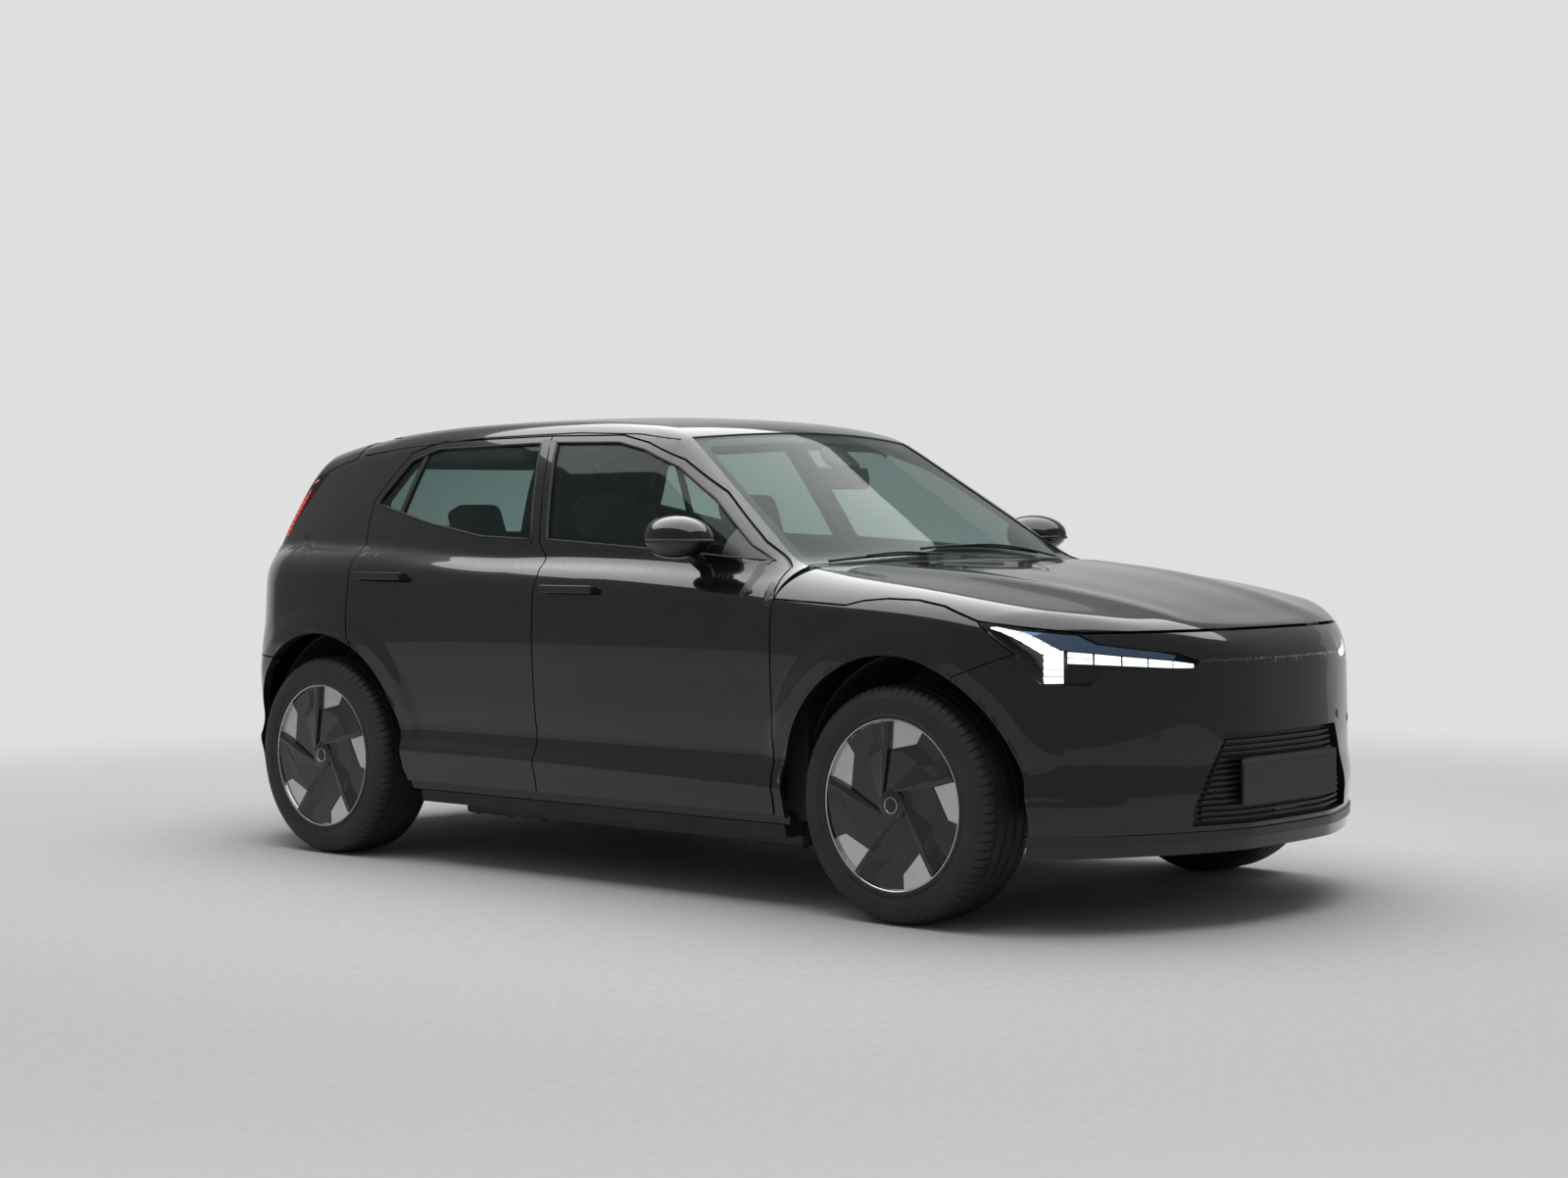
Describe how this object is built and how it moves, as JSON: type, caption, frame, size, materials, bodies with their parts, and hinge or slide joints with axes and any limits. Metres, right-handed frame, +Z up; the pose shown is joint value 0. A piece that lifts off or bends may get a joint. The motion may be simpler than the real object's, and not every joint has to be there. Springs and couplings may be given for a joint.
{
  "type": "compact electric crossover",
  "caption": "Compact five-door electric crossover with opening doors, bonnet and tailgate, steered front wheels and a furnished cabin.",
  "frame": {"origin": "on the ground under the middle of the bounding box", "axes": "+X forward, +Y to the left, +Z up"},
  "size_m": [4.2265, 2.032, 1.5496],
  "materials": {
    "paint": "deep glossy black with clear coat",
    "gloss_black": "piano black",
    "dark_plastic": "grained",
    "glass": "light green tint",
    "dark_glass": "privacy tint",
    "lamp": "clear lens",
    "tail_lamp": "red lens",
    "steel": "coated",
    "alloy": "dark lacquer with machined faces",
    "cast": "cast",
    "tyre": "tread and sidewall",
    "fabric": "woven",
    "soft_plastic": "soft touch",
    "battery": "cast tray"
  },
  "bodies": {
    "root": {"body_side_right": "paint", "body_side_left": "paint", "roof_frame": "paint", "windscreen": "glass", "cowl_panel": "dark_plastic", "front_bumper": "paint", "front_grille": "dark_plastic", "headlamps": "lamp", "rear_bumper": "paint", "tail_lamps": "tail_lamp", "rear_frame": "steel", "floor_pan": "steel", "battery_pack": "battery", "front_seats": "fabric", "rear_seat": "fabric", "dashboard": "soft_plastic", "front_subframe": "steel", "rear_subframe": "steel", "drive_unit": "battery", "fender_right": "paint", "fender_left": "paint"},
    "bonnet": {"bonnet": "paint"},
    "tailgate": {"tailgate": "paint", "tailgate_glass": "glass"},
    "steering_wheel": {"steering_wheel": "soft_plastic"},
    "front_door_right": {"front_door_right": "paint", "front_door_glass_right": "glass", "mirror_right": "gloss_black"},
    "rear_door_right": {"rear_door_right": "paint", "rear_door_glass_right": "glass"},
    "knuckle_right": {"knuckle_front_right": "cast"},
    "wheel_front_right": {"tyre_front_right": "tyre", "rim_front_right": "alloy"},
    "wheel_rear_right": {"tyre_rear_right": "tyre", "rim_rear_right": "alloy"},
    "front_door_left": {"front_door_left": "paint", "front_door_glass_left": "glass", "mirror_left": "gloss_black"},
    "rear_door_left": {"rear_door_left": "paint", "rear_door_glass_left": "glass"},
    "knuckle_left": {"knuckle_front_left": "cast"},
    "wheel_front_left": {"tyre_front_left": "tyre", "rim_front_left": "alloy"},
    "wheel_rear_left": {"tyre_rear_left": "tyre", "rim_rear_left": "alloy"}
  },
  "joints": [
    {"name": "steer_right", "type": "hinge", "parent": "root", "child": "knuckle_right", "pos_m": [1.3115, -0.7, 0.3515], "axis": [0, 0, 1], "range_deg": [-33, 33]},
    {"name": "spin_front_right", "type": "hinge", "parent": "knuckle_right", "child": "wheel_front_right", "pos_m": [1.3115, -0.785, 0.3515], "axis": [0, 1, 0], "continuous": true},
    {"name": "spin_rear_right", "type": "hinge", "parent": "root", "child": "wheel_rear_right", "pos_m": [-1.3385, -0.785, 0.3515], "axis": [0, 1, 0], "continuous": true},
    {"name": "open_front_door_right", "type": "hinge", "parent": "root", "child": "front_door_right", "pos_m": [0.768, -0.893, 0.6], "axis": [0, 0, 1], "range_deg": [0, 68]},
    {"name": "open_rear_door_right", "type": "hinge", "parent": "root", "child": "rear_door_right", "pos_m": [-0.298, -0.893, 0.6], "axis": [0, 0, 1], "range_deg": [0, 72]},
    {"name": "steer_left", "type": "hinge", "parent": "root", "child": "knuckle_left", "pos_m": [1.3115, 0.7, 0.3515], "axis": [0, 0, 1], "range_deg": [-33, 33]},
    {"name": "spin_front_left", "type": "hinge", "parent": "knuckle_left", "child": "wheel_front_left", "pos_m": [1.3115, 0.785, 0.3515], "axis": [0, 1, 0], "continuous": true},
    {"name": "spin_rear_left", "type": "hinge", "parent": "root", "child": "wheel_rear_left", "pos_m": [-1.3385, 0.785, 0.3515], "axis": [0, 1, 0], "continuous": true},
    {"name": "open_front_door_left", "type": "hinge", "parent": "root", "child": "front_door_left", "pos_m": [0.768, 0.893, 0.6], "axis": [0, 0, -1], "range_deg": [0, 68]},
    {"name": "open_rear_door_left", "type": "hinge", "parent": "root", "child": "rear_door_left", "pos_m": [-0.298, 0.893, 0.6], "axis": [0, 0, -1], "range_deg": [0, 72]},
    {"name": "open_bonnet", "type": "hinge", "parent": "root", "child": "bonnet", "pos_m": [0.838, 0, 1.05], "axis": [0, -1, 0], "range_deg": [0, 48]},
    {"name": "open_tailgate", "type": "hinge", "parent": "root", "child": "tailgate", "pos_m": [-1.42, 0, 1.488], "axis": [0, 1, 0], "range_deg": [0, 78]},
    {"name": "turn_steering_wheel", "type": "hinge", "parent": "root", "child": "steering_wheel", "pos_m": [0.43, 0.365, 0.9], "axis": [0.9272, 0, -0.3746], "range_deg": [-500, 500]}
  ],
  "couplings": [
    {"joint": "steer_left", "follows": "steer_right", "ratio": 1},
    {"joint": "turn_steering_wheel", "follows": "steer_right", "ratio": 15}
  ]
}
